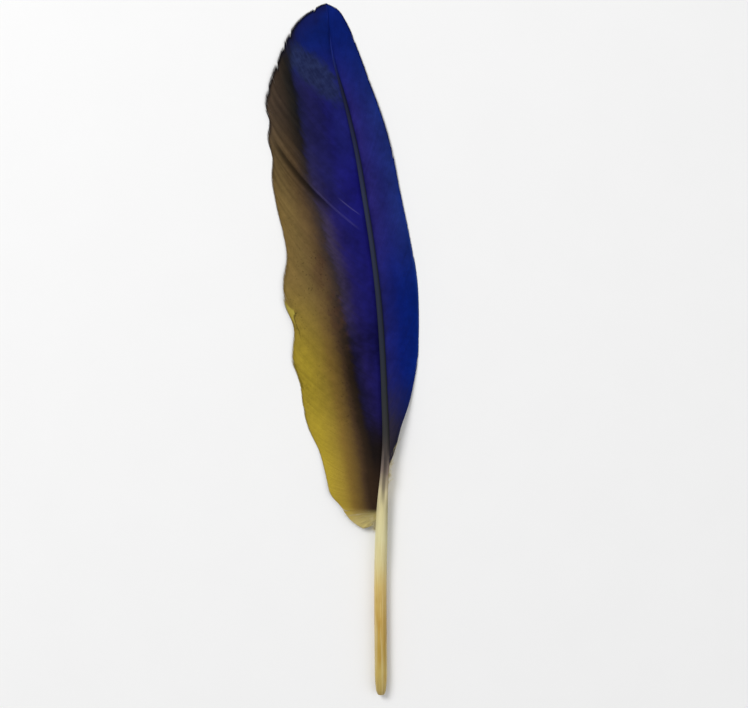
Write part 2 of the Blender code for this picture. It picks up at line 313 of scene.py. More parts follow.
def lay_out(mesh, bake_map):
    """Lays each strand's sides out on the map that a bake uses. The end caps get no room on it."""
    corners = bake_map.shape[2]
    near, far = bake_map[:, :-1], bake_map[:, 1:]
    side_map = np.concatenate((near, far[..., ::-1, :]), axis=-2)
    caps = [np.repeat(bake_map[:, end, :1, 0], corners, axis=1) for end in (0, -1)]
    layout = np.concatenate([part.reshape(-1, 2) for part in (side_map, *caps)])
    layer = mesh.uv_layers.new(name="OFBake")
    layer.uv.foreach_set("vector", layout.astype(np.float32).ravel())


def sharpen(mesh, corners, sharp):
    """Makes the edges that run along some of a section's corners sharp."""
    ends = np.empty(2 * len(mesh.edges), np.int32)
    mesh.edges.foreach_get("vertices", ends)
    corner = ends.reshape(-1, 2) % corners
    is_sharp = (corner[:, 0] == corner[:, 1]) & np.isin(corner[:, 0], sharp)
    mesh.attributes.new("sharp_edge", "BOOLEAN", "EDGE").data.foreach_set("value", is_sharp)


def add_piece(mesh, material):
    """Adds a piece that stands for the feather's solid."""
    piece = bpy.data.objects.new(mesh.name, mesh)
    bpy.context.scene.collection.objects.link(piece)
    mesh.materials.append(material)
    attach(piece, "root")
    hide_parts("feather")


# The vanes

# How finely the row of barbs is read, to find a root's share of it.
ROW_SAMPLES = 400

# A seam's lower side sinks by this share of what its upper side rises. The step between them is whole
# this far past the seam's opening, and it lessens by a share over the last stretch to the rim.
SEAM_SINKS = 0.35
SEAM_WHOLE_AFTER = 0.25
SEAM_LESSENS_BY = 0.7
SEAM_LAST_STRETCH = (0.8, 1.0)

# The lengths of the ripples along the shaft, how high the smaller ones are beside the others, and how
# fully they fill the vane's width. They end just inside the rim, where their height is not yet below 0.
RIPPLE_LENGTH = 4.2
SMALL_RIPPLE_LENGTH = 1.7
SMALL_RIPPLE = 0.6
RIPPLE_FULLNESS = 0.8
RIPPLE_END = 0.999

# The share of the way out at which a barb's end starts to sweep, the stretch over which its web narrows
# and by how much, and by how much its section is flatter at the rim.
SWEEP_START = 0.88
NARROWING = (0.968, 1.0)
NARROWS_BY = 0.8
FLATTENS_BY = 0.55
# The angle that a wandering barb's wave runs through, and how much higher or lower a barb lies.
WANDER_ANGLE = 9.0
BARB_LIFT = 0.008


def share_of(root):
    """How far along the row of barbs a root lies, from 0 to 1."""
    known = np.linspace(0.0, 1.0, ROW_SAMPLES)
    return np.interp(root, barb_root(known), known)


class Vane:
    """Where the barbs of one vane run. side is -1 for the left of the shaft and 1 for the right."""

    def __init__(self, side, barbs, rim_height, bow, droop, wave, seams, nicks, ripple):
        self.side = side
        self.tip = smooth_curve(barbs)
        self.rim_height = smooth_curve(rim_height)
        self.bow = np.array(bow)
        self.droop = droop
        self.wave = wave
        self.seams = seams
        self.nicks = nicks
        self.ripple = ripple

    def middle(self, root, out):
        """Points on the vane's middle surface. out runs from 0 at the shaft to 1 at the rim."""
        edge = self.side * ROOT_SINK * shaft_half_width(root)
        start = np.stack((shaft_across(root) + edge, root), axis=-1)
        end = self.tip(root)
        last = smooth_step(LAST_BARBS, 1.0, share_of(root))[..., None]
        bow = self.bow * (1 - last) + STRAIGHT * last
        t = out[..., None]
        flat = start + (end - start) * (2 * t * (1 - t) * bow + t * t)
        root_height = vane_height(root)
        rim_height = np.maximum(self.rim_height(end[..., 1]), 0.0)
        height = root_height + (rim_height - root_height) * out ** self.droop
        height += self.wave * np.sin(math.tau * flat[..., 1] / WAVE_LENGTH) * np.sin(math.pi * out)
        return np.concatenate((flat, height[..., None]), axis=-1)


INNER = Vane(
    -1, INNER_BARBS, INNER_RIM_HEIGHT, INNER_BOW, INNER_DROOP, WAVE_HEIGHT,
    INNER_SEAMS, INNER_NICKS, INNER_RIPPLE,
)
OUTER = Vane(
    1, OUTER_BARBS, OUTER_RIM_HEIGHT, OUTER_BOW, OUTER_DROOP, 0.0, OUTER_SEAMS, OUTER_NICKS, OUTER_RIPPLE,
)


def seam_effects(seams, roots, out):
    """How far seams move each barb along the shaft and up."""
    shift = np.zeros_like(out)
    lift = np.zeros_like(out)
    left = 1 - SEAM_LESSENS_BY * smooth_step(*SEAM_LAST_STRETCH, out)
    for place, opens, gap, step, reach in seams:
        away = (roots - place)[:, None]
        near = np.exp(-np.abs(away) / reach)
        shift += np.sign(away) * gap * near * smooth_step(opens, 1.0, out)
        raised = np.where(away > 0, 1.0, -SEAM_SINKS) * near
        lift += step * raised * smooth_step(opens, opens + SEAM_WHOLE_AFTER, out) * left
    return shift, lift


def ripples(vane, roots, out, seed):
    """How high the webs stand in ripples across the vane."""
    wave = smooth_noise(roots, RIPPLE_LENGTH, seed)
    wave += SMALL_RIPPLE * smooth_noise(roots, SMALL_RIPPLE_LENGTH, seed + 1)
    wave *= np.interp(roots, *zip(*vane.ripple))
    return wave[:, None] * np.sin(math.pi * np.minimum(out, RIPPLE_END)) ** RIPPLE_FULLNESS


def barb_lines(vane, roots, out, barb_luck, turn):
    """Each barb's middle line, moved at seams, short at nicks and wandering a little."""
    pitch = np.gradient(roots)[:, None]
    shift, lift = seam_effects(vane.seams, roots, out)
    shift += pitch * TIP_SWEEP * np.clip((out - SWEEP_START) / (1 - SWEEP_START), 0.0, 1.0) ** 2
    shift += pitch * WANDER * out * np.sin(turn[:, None] + WANDER_ANGLE * out)
    root = np.clip(roots[:, None] + shift, roots[0], roots[-1])
    end = 1.0 - TIP_SPREAD * barb_luck ** 2
    for place, depth in vane.nicks:
        end -= depth * np.exp(-(((roots - place) / NICK_WIDTH) ** 2))
    lines = vane.middle(root, out * end[:, None])
    lines[..., 2] += lift + BARB_LIFT * barb_luck[:, None]
    return lines


def webs(lines, even, out):
    """Which way each barb's web faces and lies, and its half width, from evenly spread barbs."""
    step = np.gradient(even, axis=0)
    along = unit(np.gradient(lines, axis=1))
    up = unit(np.cross(along, step))
    up *= np.sign(up[..., 2:3])
    beside = np.cross(up, along)
    half = 0.5 * np.abs(np.sum(step * beside, axis=-1)) * WEB_OVERLAP
    half = np.maximum(half, WEB_NARROWEST) * (1 - NARROWS_BY * smooth_step(*NARROWING, out))
    return up, beside, half


def barb_marks(lines, roots, out, barb_luck):
    """The named values that the finish of a vane reads."""
    steps = np.linalg.norm(np.diff(lines, axis=1), axis=-1)
    run = np.concatenate((np.zeros((len(roots), 1)), np.cumsum(steps, axis=1)), axis=1)
    return {
        "out": out[..., None],
        "run": run[..., None],
        "border": (lines[..., 0] - blue_border(lines[..., 1]))[..., None],
        "root": roots[:, None, None],
        "barb": barb_luck[:, None, None],
        "beside": np.array(WEB)[None, None, :],
    }


def barb_mesh(name, vane, roots, stations, seed):
    """The barbs of a vane as one mesh."""
    luck = np.random.default_rng(seed)
    count = len(roots)
    barb_luck = luck.uniform(-1, 1, count)
    turn = luck.uniform(0, math.tau, count)
    t = np.linspace(0.0, 1.0, stations)
    out = np.repeat((1 - (1 - t) ** STATION_CROWDING)[None, :], count, axis=0)

    # Widths come from the evenly spread barbs, so that gaps at seams stay open.
    rippled = ripples(vane, roots, out, seed)
    lines = barb_lines(vane, roots, out, barb_luck, turn)
    lines[..., 2] += rippled
    even = vane.middle(np.repeat(roots[:, None], stations, axis=1), out)
    even[..., 2] += rippled
    up, beside, half = webs(lines, even, out)

    across = half[..., None] * np.array(WEB)
    heights = np.array(WEB_HEIGHT) * (1 - FLATTENS_BY * out[..., None])
    corners = lines[:, :, None, :] + beside[:, :, None, :] * across[..., None]
    corners = corners + up[:, :, None, :] * heights[..., None]

    # The upper sides fill the left half of the map and the undersides the right half.
    under = np.array(UNDERSIDE_FACES)
    share = (np.array((*WEB, WEB[0])) + 1) / 2
    side_share = np.stack((share[:-1], share[1:]), axis=-1)
    bake_map = np.empty((count, stations, len(WEB), 2, 2))
    bake_map[..., 0] = (inset(out, MAP_MARGIN)[..., None, None] + under[:, None]) / 2
    bake_map[..., 1] = (np.arange(count)[:, None, None, None] + inset(side_share, STRIP_MARGIN)) / count
    marks = barb_marks(lines, roots, out, barb_luck)
    return strand_mesh(name, corners, bake_map, marks, under, WEB_EDGES)


# The down

DOWN_STATIONS = 6
# Where stems leave the shaft, from and to, then how many do.
INNER_FRINGE = (70.6, 74.4, 34)
OUTER_FRINGE = (92.6, 96.5, 12)
INNER_TUFT = (65.5, 70.3, 24)
OUTER_TUFT = (85.0, 93.0, 20)
# The least and the most, each away from the shaft, along it and up. A tuft's are shares of a stem's
# length.
FRINGE_PAST_RIM = ((0.1, -0.9, -0.3), (1.4, 0.3, 0.3))
FRINGE_SAG = ((-0.3, -1.1, -0.1), (0.3, 0.1, 0.3))
TUFT_WAY = ((0.4, 0.2, -0.3), (0.9, 1.0, 0.1))
TUFT_BEND = ((-0.5, -0.2, -0.3), (0.5, 0.7, 0.1))
TUFT_LENGTH = (1.2, 2.8)
TUFT_SINK = 0.1
# Wisps leave each stem over a stretch of it, and get shorter towards its end. Their ways and curls are
# shares of their length.
WISPS_PER_STEM = 44
WISP_STRETCH = (0.12, 0.97)
WISP_LENGTH = (0.5, 1.5)
WISP_FULL_LENGTH = 1.1
WISP_FORWARD = 0.55
WISP_SIDEWAYS = 0.85
WISP_SCATTER = 0.18
WISP_CURL = 0.32
# A strand's radius, then what is left of it at the tip, as a share, and the angles of its corners.
STEM_RADIUS = 0.035
STEM_TIP = 0.3
WISP_RADIUS = 0.012
WISP_TIP = 0.4
STRAND_CORNERS = (90, 210, 330)
# Strands stay this far from the shaft's axis, in its half widths.
SHAFT_CLEARANCE = 0.95


def bent_strands(starts, ways, bends):
    """Strands that leave their starts one way and bend another."""
    t = np.linspace(0.0, 1.0, DOWN_STATIONS)[None, :, None]
    return starts[:, None, :] + ways[:, None, :] * t + bends[:, None, :] * t * t


def fringe_stems(vane, span, luck):
    """Loose stems that lie along a vane's lowest barbs and end a little past its rim."""
    roots = np.sort(luck.uniform(*span))
    size = (len(roots), 3)
    starts = vane.middle(roots, np.zeros(len(roots)))
    ends = vane.middle(roots, np.ones(len(roots)))
    ends += luck.uniform(*FRINGE_PAST_RIM, size) * (vane.side, 1, 1)
    sag = luck.uniform(*FRINGE_SAG, size)
    return bent_strands(starts, ends - starts - sag, sag)


def tuft_stems(vane, span, luck):
    """Short curled stems on the shaft below a vane."""
    roots = np.sort(luck.uniform(*span))
    size = (len(roots), 3)
    starts = vane.middle(roots, np.zeros(len(roots)))
    starts[:, 0] -= vane.side * TUFT_SINK
    lengths = luck.uniform(*TUFT_LENGTH, (len(roots), 1))
    ways = luck.uniform(*TUFT_WAY, size) * (vane.side, 1, 1) * lengths
    bends = luck.uniform(*TUFT_BEND, size) * lengths
    return bent_strands(starts, ways, bends)


def wisps(stems, luck):
    """Fine curled hairs down both sides of each stem."""
    stem = np.repeat(np.arange(len(stems)), WISPS_PER_STEM)
    at = np.tile(np.linspace(*WISP_STRETCH, WISPS_PER_STEM), len(stems)) * (DOWN_STATIONS - 1)
    k = np.minimum(at.astype(int), DOWN_STATIONS - 2)
    t = (at - k)[:, None]
    here, after = stems[stem, k], stems[stem, k + 1]
    starts = here * (1 - t) + after * t
    forward = unit(after - here)
    side = unit(np.cross(forward, (0.0, 0.0, 1.0))) * np.where(np.arange(len(stem)) % 2, 1, -1)[:, None]
    lengths = luck.uniform(*WISP_LENGTH, (len(stem), 1))
    lengths *= (WISP_FULL_LENGTH - at / DOWN_STATIONS)[:, None]
    scatter = luck.normal(0, WISP_SCATTER, starts.shape)
    ways = (forward * WISP_FORWARD + side * WISP_SIDEWAYS + scatter) * lengths
    bends = luck.normal(0, WISP_CURL, starts.shape) * lengths
    return bent_strands(starts, ways, bends)


def clear_of_shaft(lines):
    """Strands moved sideways where they would run into the shaft."""
    middle = shaft_across(lines[..., 1])
    away = lines[..., 0] - middle
    side = np.sign(away[:, -1:])
    least = SHAFT_CLEARANCE * shaft_half_width(lines[..., 1])
    lines[..., 0] = middle + side * np.maximum(away * side, least)
    return lines


def thin_strands(lines, radius, tip_share):
    """Three-cornered strands about middle lines, thinner towards their tips."""
    along = unit(np.gradient(lines, axis=1))
    beside = unit(np.cross(along, (0.0, 0.0, 1.0)))
    up = np.cross(beside, along)
    angles = np.radians(STRAND_CORNERS)
    taper = radius * (1 - (1 - tip_share) * np.linspace(0.0, 1.0, DOWN_STATIONS))[None, :, None, None]
    ring = beside[:, :, None, :] * np.cos(angles)[:, None] + up[:, :, None, :] * np.sin(angles)[:, None]
    return lines[:, :, None, :] + ring * taper


def down_mesh(seed):
    """The downy stems and their wisps at the foot of both vanes."""
    luck = np.random.default_rng(seed)
    stems = np.concatenate((
        fringe_stems(INNER, INNER_FRINGE, luck), fringe_stems(OUTER, OUTER_FRINGE, luck),
        tuft_stems(INNER, INNER_TUFT, luck), tuft_stems(OUTER, OUTER_TUFT, luck),
    ))
    hairs = wisps(stems, luck)
    corners = np.concatenate((
        thin_strands(clear_of_shaft(stems), STEM_RADIUS, STEM_TIP),
        thin_strands(clear_of_shaft(hairs), WISP_RADIUS, WISP_TIP),
    ))
    count, sides = len(corners), len(STRAND_CORNERS)
    bake_map = np.empty((count, DOWN_STATIONS, sides + 1, 2))
    bake_map[..., 0] = inset(np.linspace(0, 1, DOWN_STATIONS), MAP_MARGIN)[None, :, None]
    strip = inset(np.arange(sides + 1) / sides, STRIP_MARGIN)
    bake_map[..., 1] = (np.arange(count)[:, None, None] + strip) / count
    marks = {"barb": luck.uniform(-1, 1, count)[:, None, None]}
    return strand_mesh("down", corners, unrolled(bake_map), marks)


# The shaft

# How many rings the tube has, the power by which they crowd towards the quill's end, and a ring's corners.
SHAFT_RINGS = 380
RING_CROWDING = 1.15
SHAFT_CORNERS = 36
# The rings of the pit in the quill's end, from its bottom to the lip: place along, then half width.
PIT_RINGS = ((0.95, 0.12), (0.80, 0.30), (0.30, 0.42), (0.04, 0.56), (0.00, 0.80), (0.06, 1.10))
LIP = 0.2


def shaft_sections(along):
    """Twelve corners of the shaft's section at each place along it, clockwise from the left top."""
    angles = np.radians(QUILL_ANGLES)
    blend = smooth_step(*QUILL_BECOMES_SHAFT, along)[:, None, None]
    quill = np.stack((np.cos(angles), np.sin(angles)), axis=-1)[None]
    right = quill + (np.array(SHAFT_SECTION)[None] - quill) * blend
    groove_depth = FLAT_STRIP + (SHAFT_GROOVE - FLAT_STRIP) * blend[:, :, 0]
    groove = np.stack((np.zeros_like(groove_depth), groove_depth), axis=-1)
    left = right * (-1, 1)
    return np.concatenate((left[:, 2:0:-1], right, groove, left[:, :2:-1]), axis=1)


def rounded(sections, corners):
    """Closed outlines drawn smoothly through the corners of sections."""
    count = sections.shape[1]
    at = np.arange(corners) * count / corners
    k = np.floor(at).astype(int)
    t = (at - k)[None, :, None]
    before, here, after, beyond = (sections[:, (k + step) % count] for step in (-1, 0, 1, 2))
    return smooth_way(t, here, after, (after - before) / 2, (beyond - here) / 2)


def shaft_mesh():
    """The quill and shaft as one swept tube, with the small pit in the quill's end."""
    share = np.linspace(0.0, 1.0, SHAFT_RINGS)
    outside = LIP + (SHAFT_TIP - LIP) * share ** RING_CROWDING
    pit = np.array(PIT_RINGS)
    along = np.concatenate((pit[:, 0], outside))
    half = np.concatenate((pit[:, 1], np.minimum(shaft_half_width(outside), QUILL_RADIUS)))
    outline = rounded(shaft_sections(along), SHAFT_CORNERS)
    rings = len(along)
    points = np.empty((1, rings, SHAFT_CORNERS, 3))
    points[0, ..., 0] = shaft_across(along)[:, None] + half[:, None] * outline[..., 0]
    points[0, ..., 1] = along[:, None]
    points[0, ..., 2] = vane_height(along)[:, None] + half[:, None] * outline[..., 1]
    bake_map = np.empty((1, rings, SHAFT_CORNERS + 1, 2))
    bake_map[0, ..., 0] = inset(np.arange(SHAFT_CORNERS + 1) / SHAFT_CORNERS, MAP_MARGIN)
    bake_map[0, ..., 1] = inset(np.arange(rings) / rings, MAP_MARGIN)[:, None]
    inside = (np.arange(rings) < len(pit) - 1).astype(float)
    marks = {"across": outline[None, ..., 0], "height": outline[None, ..., 1], "pit": inside[None, :, None]}
    return strand_mesh("shaft", points, unrolled(bake_map), marks)


# Shader formulas


class Value:
    """A socket in a shader formula. Operators add Math nodes."""

    def __init__(self, finish, socket):
        self.finish = finish
        self.socket = socket

    def math(self, operation, *others):
        """One Math node on this value and others."""
        return self.finish.node("Math", {"operation": operation}, dict(enumerate((self, *others))))

    def __add__(self, other):
        return self.math("ADD", other)

    __radd__ = __add__

    def __sub__(self, other):
        return self.math("SUBTRACT", other)

    def __rsub__(self, other):
        return self.finish.node("Math", {"operation": "SUBTRACT"}, {0: other, 1: self})

    def __mul__(self, other):
        return self.math("MULTIPLY", other)

    __rmul__ = __mul__

    def __truediv__(self, other):
        return self.math("DIVIDE", other)

    def __pow__(self, other):
        return self.math("POWER", other)

    def __abs__(self):
        return self.math("ABSOLUTE")

    def rise(self, low, high):
        """0 at low and 1 at high, smooth between and level beyond. low may be the larger."""
        settings = {"interpolation_type": "SMOOTHSTEP"}
        return self.finish.node("MapRange", settings, {0: self, 1: low, 2: high, 3: 0.0, 4: 1.0})

    def band(self, starts, whole, fades, ends):
        """1 from whole to fades, and 0 up to starts and from ends on."""
        return self.rise(starts, whole) * self.rise(ends, fades)


class Finish:
    """A material in the making."""

    def __init__(self, name):
        self.material = bpy.data.materials.new(name)
        self.material.use_nodes = True
        self.tree = self.material.node_tree
        self.shader = self.tree.nodes["Principled BSDF"]

    def node(self, kind, settings=None, values=None, output=0):
        """Adds a node of a kind, sets it up, feeds its sockets and returns one of its outputs."""
        node = self.tree.nodes.new("ShaderNode" + kind)
        for key, value in (settings or {}).items():
            if key == "stops":
                self.set_stops(node.color_ramp.elements, value)
            else:
                setattr(node, key, value)
        for key, value in (values or {}).items():
            self.feed(node.inputs[key], value)
        return Value(self, node.outputs[output])

    def feed(self, socket, value):
        """Links or sets one socket."""
        if isinstance(value, Value):
            self.tree.links.new(value.socket, socket)
        else:
            socket.default_value = value

    def set_stops(self, elements, stops):
        """Gives a colour ramp its stops, each a place and a colour."""
        elements.remove(elements[1])
        elements[0].position, colour = stops[0]
        elements[0].color = rgb(*colour)
        for place, colour in stops[1:]:
            elements.new(place).color = rgb(*colour)

    def mark(self, name):
        """A named value of the mesh."""
        return self.node("Attribute", {"attribute_name": name}, output="Fac")

    def ramp(self, value, stops):
        """A colour read by value from stops, each given in the value's own measure."""
        low, high = stops[0][0], stops[-1][0]
        places = [((place - low) / (high - low), colour) for place, colour in stops]
        return self.node("ValToRGB", {"stops": places}, {0: (value - low) / (high - low)})

    def mix(self, share, first, second, blend="MIX"):
        """Two colours mixed, with a share of the second."""
        settings = {"data_type": "RGBA", "blend_type": blend}
        return self.node("Mix", settings, {0: share, 6: first, 7: second}, output=2)

    def shaded(self, colour, level):
        """A colour made lighter or darker by a level about 1."""
        return self.mix(1.0, colour, self.vector(level, level, level), "MULTIPLY")

    def noise(self, place, scale=1.0, detail=2.0):
        """Noise from 0 to 1, about 0.5."""
        return self.node("TexNoise", None, {"Vector": place, "Scale": scale, "Detail": detail})

    def vector(self, x, y, z):
        """A vector from three values."""
        return self.node("CombineXYZ", None, {0: x, 1: y, 2: z})

    def coords(self):
        """The place on a piece, as a vector in metres."""
        return self.node("TexCoord", output="Object")

    def place(self, coords):
        """How far across and along the feather a place lies."""
        split = self.node("SeparateXYZ", None, {0: coords}).socket.node.outputs
        return Value(self, split[0]) / MM + MIDDLE_ACROSS, Value(self, split[1]) / MM + MIDDLE_ALONG

    def bump(self, height, distance, strength):
        """A normal that follows a height from 0 to 1, which stands for a distance in metres."""
        return self.node("Bump", None, {"Height": height, "Distance": distance, "Strength": strength})

    def finish(self, **sockets):
        """Feeds the shader, by socket name with underscores for blanks, and returns the material."""
        for name, value in sockets.items():
            self.feed(self.shader.inputs[name.replace("_", " ")], value)
        return self.material


def linear(level):
    """A screen level from 0 to 255 as linear light."""
    share = level / 255
    return share / 12.92 if share <= 0.04045 else ((share + 0.055) / 1.055) ** 2.4


def rgb(red, green, blue):
    """A colour given in screen levels, as a shader takes it."""
    return linear(red), linear(green), linear(blue), 1.0


# The barbs' finishes. In a rise, out is the share of the way from the shaft to the rim.

# Noise on the barbs: how often it changes in a millimetre of the shaft, and then in a whole barb or in
# a millimetre of it. The single numbers give how often it changes in a metre.
STREAK_NOISE = (0.5, 4.0)
FINE_NOISE = (5.0, 0.9)
FOLD_SHADING_NOISE = (0.26, 1.2)
SCRATCH_NOISE = (1.1, 0.22)
CLOUD_NOISE = 90.0
MOTTLE_NOISE = 380.0
CRUMB_NOISE = 1300.0
# The barbules on a web: how many there are to a millimetre, how many their slant crosses, their relief.
BARBULES_PER_MM = 9.0
BARBULE_SLANT = 2.4
BARBULE_RELIEF = 0.012 * MM


class Barbs:
    """What the colours of a barb are worked out from."""

    def __init__(self, f):
        self.coords = f.coords()
        self.across, self.along = f.place(self.coords)
        self.out, self.run, self.border, self.root, self.barb, self.beside, self.under = (
            f.mark(name) for name in ("out", "run", "border", "root", "barb", "beside", "under")
        )
        self.streaks = self.noise(f, self.out, STREAK_NOISE, 0.0, 3.0)
        self.fine = self.noise(f, self.run, FINE_NOISE, 0.0, 2.0)
        # Noise for the painted light and shade of soft folds in the brown.
        self.fold_light_and_shade = self.noise(f, self.out, FOLD_SHADING_NOISE, 7.0, 1.0)
        self.clouds = f.noise(self.coords, CLOUD_NOISE, 4.0)
        self.mottle = f.noise(self.coords, MOTTLE_NOISE, 3.0)

    def noise(self, f, way_out, often, layer, detail):
        """Noise over the barbs' roots and the way out. Each layer has its own pattern."""
        return f.noise(f.vector(self.root * often[0], way_out * often[1], layer), detail=detail)


def vane_finish(name, upper_colour):
    """The finish of one vane's barbs: the colours of its upper side given, its underside golden."""
    f = Finish(name)
    b = Barbs(f)
    colour = f.mix(b.under, upper_colour(f, b), vane_under(f, b))
    ridge = abs(b.beside).rise(0.9, 0.0)
    colour = f.shaded(colour, 0.80 + 0.26 * b.fine + 0.05 * b.barb + 0.08 * ridge)
    turns = b.run * BARBULES_PER_MM - abs(b.beside) * BARBULE_SLANT
    barbules = (math.tau * turns).math("SINE") * 0.5 + 0.5
    relief = f.bump(0.65 * barbules + 0.35 * b.fine, BARBULE_RELIEF, 0.5)
    rough = 0.50 + 0.16 * b.streaks + 0.05 * b.barb
    return f.finish(Base_Color=colour, Roughness=rough, Normal=relief, Specular_IOR_Level=0.03)


# The inner vane from above. Rows of a ramp give how far a place lies inside the blue, which is below 0
# in the brown, then its colour.
FOOT_BROWN = (
    (-20, (166, 144, 46)), (-14.3, (148, 125, 47)), (-10.5, (126, 100, 45)), (-7, (99, 77, 41)),
    (-5, (72, 54, 36)), (-3.2, (48, 36, 26)), (0, (26, 20, 19)),
)
MIDDLE_BROWN = (
    (-18, (132, 108, 60)), (-12, (124, 102, 59)), (-8, (112, 89, 55)), (-5.5, (96, 75, 51)),
    (-3.5, (77, 61, 50)), (-1.5, (60, 50, 52)), (0.5, (51, 43, 60)),
)
TIP_BROWN = (
    (-20, (80, 66, 55)), (-12, (68, 55, 43)), (-7, (51, 41, 33)), (-4, (32, 28, 24)),
    (-1.5, (18, 18, 20)), (0.5, (20, 20, 34)),
)
RED_BROWN = rgb(74, 50, 36)
INNER_BLUE = ((0, (38, 32, 72)), (4, (36, 30, 92)), (9, (27, 25, 97)), (18, (21, 20, 102)))
FOOT_BORDER = rgb(28, 24, 60)
MIDDLE_BORDER = rgb(67, 57, 82)
TIP_BORDER = rgb(24, 24, 46)
DUSKY_BLUE = rgb(25, 26, 70)
CLEAR_BLUE = rgb(31, 35, 104)
TIP_BLUE = rgb(9, 29, 101)
TIP_RIM_BLUE = rgb(20, 20, 60)
DARK_FOOT = rgb(62, 44, 28)
PALE_FOOT = rgb(212, 196, 124)
RIM_BLACK_AND_SHADE = rgb(8, 9, 18)


def inner_upper(f, b):
    """The inner vane from above: brown to yellow at the rim, then blue beside the shaft."""
    streaky = 0.8 + 2.4 * b.along.rise(105, 155)
    inside = b.border + 0.25 * b.barb + streaky * (b.streaks - 0.5) + 3.0 * (b.clouds - 0.5)
    foot = f.ramp(inside, FOOT_BROWN)
    colour = f.mix(inside.rise(-2.0, 1.2), inner_brown(f, b, inside, foot), inner_blue(f, b, inside))
    foot_rim = b.along.rise(106, 88) * inside.rise(-10, -14)
    colour = f.mix(b.along.rise(117, 99), colour, f.shaded(foot, 1.0 + 0.18 * foot_rim))
    foot_border = b.along.rise(98, 84) * inside.rise(-5, -2)
    colour = f.mix(foot_border * 0.5, colour, DARK_FOOT)
    lowest_barbs = b.root.rise(75.6, 71.4)
    colour = f.mix(lowest_barbs * 0.85, colour, PALE_FOOT)
    tip_rim = b.along.rise(256, 266) * b.out.rise(0.68, 0.98)
    colour = f.mix(tip_rim * 0.6, colour, TIP_RIM_BLUE)
    colour = with_worn_patch(f, b, inside, colour)
    colour = with_seam_highlights(f, b, colour)
    colour = with_folded_lock(f, b, colour)
    # A darker rim: partly the vane's own dark edge, partly painted contact shade, which alone reaches down
    # the lower rim.
    rim = b.out.rise(0.94, 0.985) * (0.25 + 0.75 * b.along.rise(205, 240)) * b.root.rise(75, 82)
    return f.mix(rim * 0.9, colour, RIM_BLACK_AND_SHADE)


def inner_brown(f, b, inside, foot):
    """The inner vane's brown, with its smudges, dark crumbs and soft folds painted as light and shade."""
    brown = f.mix(b.along.rise(132, 172), foot, f.ramp(inside, MIDDLE_BROWN))
    brown = f.mix(b.along.rise(190, 238), brown, f.ramp(inside, TIP_BROWN))
    level = 0.56 + 0.20 * b.streaks + 0.36 * b.mottle
    brown = f.shaded(brown, level + 0.48 * b.along.rise(122, 90) + 0.30 * b.along.rise(205, 240))
    smudged = b.along.band(128, 150, 185, 205) * inside.rise(-14, -5)
    smudges = (0.6 * b.clouds + 0.4 * b.mottle).rise(0.50, 0.62) * smudged
    brown = f.mix(0.40 * smudges, brown, RED_BROWN)
    crumbs = f.noise(b.coords, CRUMB_NOISE, 3.0).rise(0.60, 0.72) * b.clouds.rise(0.42, 0.54)
    brown = f.shaded(brown, 1.0 - 0.50 * crumbs * b.along.rise(205, 188))
    # Painted light and shade: bands lighter and darker across the brown stand for soft folds, strongest
    # towards the tip.
    strong_fold_shading = b.along.band(188, 212, 238, 262)
    return f.shaded(brown, 1.0 + (b.fold_light_and_shade - 0.5) * (0.3 + 1.2 * strong_fold_shading))


def inner_blue(f, b, inside):
    """The inner vane's blue, with its greyer border."""
    border = f.mix(b.along.rise(135, 172), FOOT_BORDER, MIDDLE_BORDER)
    border = f.mix(b.along.rise(200, 235), border, TIP_BORDER)
    blue = f.mix(inside.rise(6.0, -1.0) * 0.85, f.ramp(inside, INNER_BLUE), border)
    dusky = b.along.rise(188, 212) * inside.rise(13.0, 6.0)
    blue = f.mix(dusky * 0.7, blue, DUSKY_BLUE)
    clear = b.along.rise(205, 228) * inside.rise(9.0, 14.0)
    blue = f.mix(clear * 0.6, blue, CLEAR_BLUE)
    blue = f.mix(b.along.rise(245, 268), blue, TIP_BLUE)
    level = 1.0 - 0.38 * b.along.rise(182, 138)
    return f.shaded(blue, level + 1.3 * (b.clouds - 0.5) + 0.6 * (b.mottle - 0.5))


# The worn slate patch across the blue near the tip. Its slant is how far its length goes across and
# back along the feather.
PATCH_ACROSS = -26.9
PATCH_ALONG = 251.6
PATCH_SLANT = (0.74, 0.67)
PATCH_HALF_LENGTH = 18.0
PATCH_HALF_WIDTH = 6.6
DARK_SLATE = rgb(27, 34, 66)
LIGHT_SLATE = rgb(41, 51, 87)


def with_worn_patch(f, b, inside, colour):
    """Adds the slate patch with its ragged edge and fine scratches."""
    over, back = PATCH_SLANT
    across, along = b.across - PATCH_ACROSS, b.along - PATCH_ALONG
    long_way = (across * over - along * back) / PATCH_HALF_LENGTH
    short_way = (across * back + along * over) / PATCH_HALF_WIDTH
    scratches = b.noise(f, b.run, SCRATCH_NOISE, 4.0, 3.0)
    ragged = 0.6 * (b.mottle - 0.5) + 0.7 * (scratches - 0.5) + 0.8 * (b.clouds - 0.5)
    from_middle = (long_way ** 2.0 + short_way ** 2.0) ** 0.5 + ragged
    slate = f.mix((0.6 * b.mottle + 0.4 * scratches).rise(0.34, 0.66), DARK_SLATE, LIGHT_SLATE)
    patch = from_middle.rise(1.15, 0.60) * inside.rise(-3.5, 0.5)
    return f.mix(patch * 0.84, colour, slate)


# The roots of the barbs along two seams, which get a painted highlight.
LONG_SEAM = 185.4
SHORT_SEAM = 192.2
SEAM_HIGHLIGHT = rgb(116, 110, 166)


